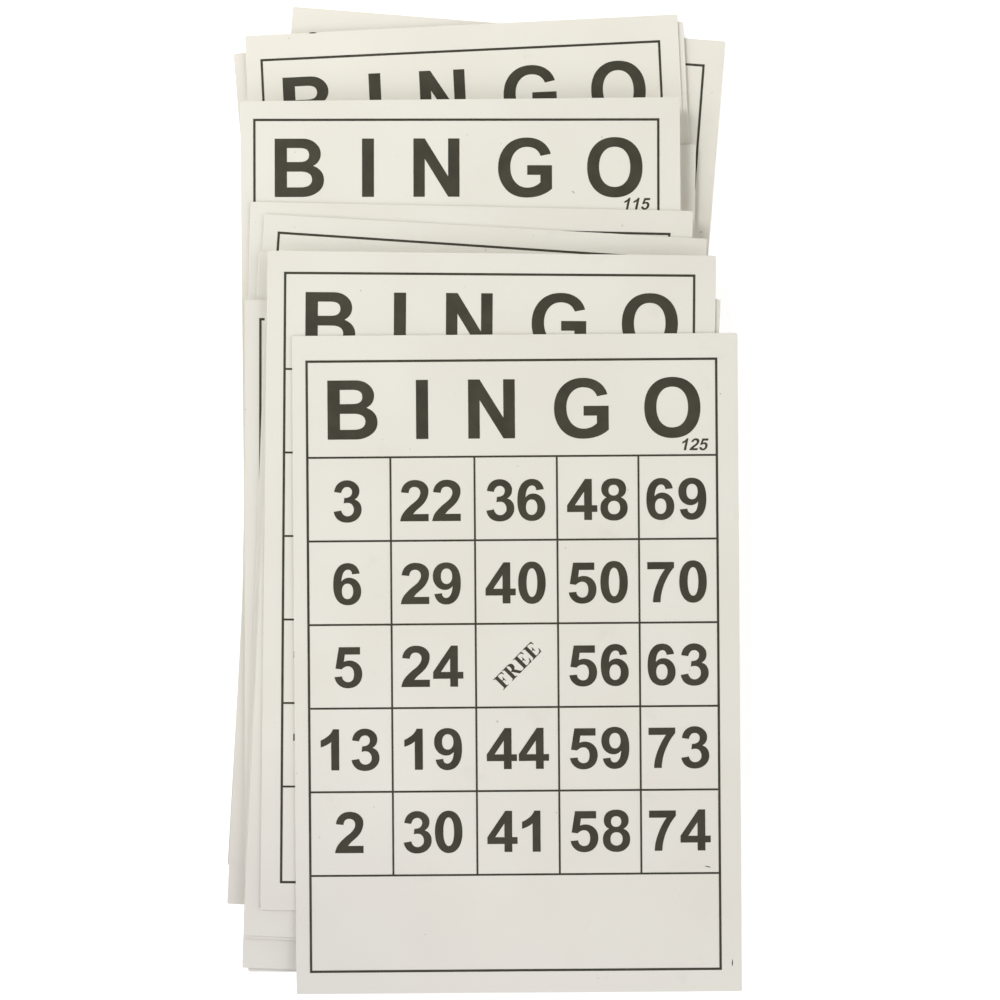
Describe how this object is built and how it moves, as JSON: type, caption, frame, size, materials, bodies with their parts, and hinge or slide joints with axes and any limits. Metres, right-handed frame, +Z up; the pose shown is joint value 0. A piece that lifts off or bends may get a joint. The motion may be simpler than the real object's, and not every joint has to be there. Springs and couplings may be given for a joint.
{
  "type": "bingo card",
  "caption": "Loose, fanned pile of thin rectangular bingo cards with printed grids, lying face up; each card lifts off the one below it.",
  "frame": {"origin": "bottom centre of the whole pile's bounding box, on the table that the lowest card lies on", "axes": "+Y towards the heads of the cards, +Z up through the pile, +X to the right of the printed faces"},
  "size_m": [0.1178, 0.2284, 0.008],
  "materials": {
    "card_stock": "matt, uncoated off-white card",
    "printing_ink": "matt, dark grey-brown ink"
  },
  "bodies": {
    "bingo_card_01": {"card_01": "card_stock", "print_01": "printing_ink"},
    "bingo_card_02": {"card_02": "card_stock", "print_02": "printing_ink"},
    "bingo_card_03": {"card_03": "card_stock", "print_03": "printing_ink"},
    "bingo_card_04": {"card_04": "card_stock", "print_04": "printing_ink"},
    "bingo_card_05": {"card_05": "card_stock", "print_05": "printing_ink"},
    "bingo_card_06": {"card_06": "card_stock", "print_06": "printing_ink"},
    "bingo_card_07": {"card_07": "card_stock", "print_07": "printing_ink"},
    "bingo_card_08": {"card_08": "card_stock", "print_08": "printing_ink"},
    "bingo_card_09": {"card_09": "card_stock", "print_09": "printing_ink"},
    "bingo_card_10": {"card_10": "card_stock", "print_10": "printing_ink"},
    "bingo_card_11": {"card_11": "card_stock", "print_11": "printing_ink"},
    "bingo_card_12": {"card_12": "card_stock", "print_12": "printing_ink"},
    "bingo_card_13": {"card_13": "card_stock", "print_13": "printing_ink"},
    "bingo_card_14": {"card_14": "card_stock", "print_14": "printing_ink"},
    "bingo_card_15": {"card_15": "card_stock", "print_15": "printing_ink"},
    "bingo_card_16": {"card_16": "card_stock", "print_16": "printing_ink"},
    "bingo_card_17": {"card_17": "card_stock", "print_17": "printing_ink"},
    "bingo_card_18": {"card_18": "card_stock", "print_18": "printing_ink"},
    "bingo_card_19": {"card_19": "card_stock", "print_19": "printing_ink"},
    "bingo_card_20": {"card_20": "card_stock", "print_20": "printing_ink"},
    "bingo_card_21": {"card_21": "card_stock", "print_21": "printing_ink"},
    "bingo_card_22": {"card_22": "card_stock", "print_22": "printing_ink"},
    "bingo_card_23": {"card_23": "card_stock", "print_23": "printing_ink"},
    "bingo_card_24": {"card_24": "card_stock", "print_24": "printing_ink"},
    "bingo_card_25": {"card_25": "card_stock", "print_25": "printing_ink"}
  },
  "joints": [
    {"name": "lift_card_02", "type": "slide", "parent": "bingo_card_01", "child": "bingo_card_02", "axis": [0, 0, 1], "range_m": [0, 0.02]},
    {"name": "lift_card_03", "type": "slide", "parent": "bingo_card_02", "child": "bingo_card_03", "axis": [0, 0, 1], "range_m": [0, 0.02]},
    {"name": "lift_card_04", "type": "slide", "parent": "bingo_card_03", "child": "bingo_card_04", "axis": [0, 0, 1], "range_m": [0, 0.02]},
    {"name": "lift_card_05", "type": "slide", "parent": "bingo_card_04", "child": "bingo_card_05", "axis": [0, 0, 1], "range_m": [0, 0.02]},
    {"name": "lift_card_06", "type": "slide", "parent": "bingo_card_05", "child": "bingo_card_06", "axis": [0, 0, 1], "range_m": [0, 0.02]},
    {"name": "lift_card_07", "type": "slide", "parent": "bingo_card_06", "child": "bingo_card_07", "axis": [0, 0, 1], "range_m": [0, 0.02]},
    {"name": "lift_card_08", "type": "slide", "parent": "bingo_card_07", "child": "bingo_card_08", "axis": [0, 0, 1], "range_m": [0, 0.02]},
    {"name": "lift_card_09", "type": "slide", "parent": "bingo_card_08", "child": "bingo_card_09", "axis": [0, 0, 1], "range_m": [0, 0.02]},
    {"name": "lift_card_10", "type": "slide", "parent": "bingo_card_09", "child": "bingo_card_10", "axis": [0, 0, 1], "range_m": [0, 0.02]},
    {"name": "lift_card_11", "type": "slide", "parent": "bingo_card_10", "child": "bingo_card_11", "axis": [0, 0, 1], "range_m": [0, 0.02]},
    {"name": "lift_card_12", "type": "slide", "parent": "bingo_card_11", "child": "bingo_card_12", "axis": [0, 0, 1], "range_m": [0, 0.02]},
    {"name": "lift_card_13", "type": "slide", "parent": "bingo_card_12", "child": "bingo_card_13", "axis": [0, 0, 1], "range_m": [0, 0.02]},
    {"name": "lift_card_14", "type": "slide", "parent": "bingo_card_13", "child": "bingo_card_14", "axis": [0, 0, 1], "range_m": [0, 0.02]},
    {"name": "lift_card_15", "type": "slide", "parent": "bingo_card_14", "child": "bingo_card_15", "axis": [0, 0, 1], "range_m": [0, 0.02]},
    {"name": "lift_card_16", "type": "slide", "parent": "bingo_card_15", "child": "bingo_card_16", "axis": [0, 0, 1], "range_m": [0, 0.02]},
    {"name": "lift_card_17", "type": "slide", "parent": "bingo_card_16", "child": "bingo_card_17", "axis": [0, 0, 1], "range_m": [0, 0.02]},
    {"name": "lift_card_18", "type": "slide", "parent": "bingo_card_17", "child": "bingo_card_18", "axis": [0, 0, 1], "range_m": [0, 0.02]},
    {"name": "lift_card_19", "type": "slide", "parent": "bingo_card_18", "child": "bingo_card_19", "axis": [0, 0, 1], "range_m": [0, 0.02]},
    {"name": "lift_card_20", "type": "slide", "parent": "bingo_card_19", "child": "bingo_card_20", "axis": [0, 0, 1], "range_m": [0, 0.02]},
    {"name": "lift_card_21", "type": "slide", "parent": "bingo_card_20", "child": "bingo_card_21", "axis": [0, 0, 1], "range_m": [0, 0.02]},
    {"name": "lift_card_22", "type": "slide", "parent": "bingo_card_21", "child": "bingo_card_22", "axis": [0, 0, 1], "range_m": [0, 0.02]},
    {"name": "lift_card_23", "type": "slide", "parent": "bingo_card_22", "child": "bingo_card_23", "axis": [0, 0, 1], "range_m": [0, 0.02]},
    {"name": "lift_card_24", "type": "slide", "parent": "bingo_card_23", "child": "bingo_card_24", "axis": [0, 0, 1], "range_m": [0, 0.02]},
    {"name": "lift_card_25", "type": "slide", "parent": "bingo_card_24", "child": "bingo_card_25", "axis": [0, 0, 1], "range_m": [0, 0.02]}
  ]
}
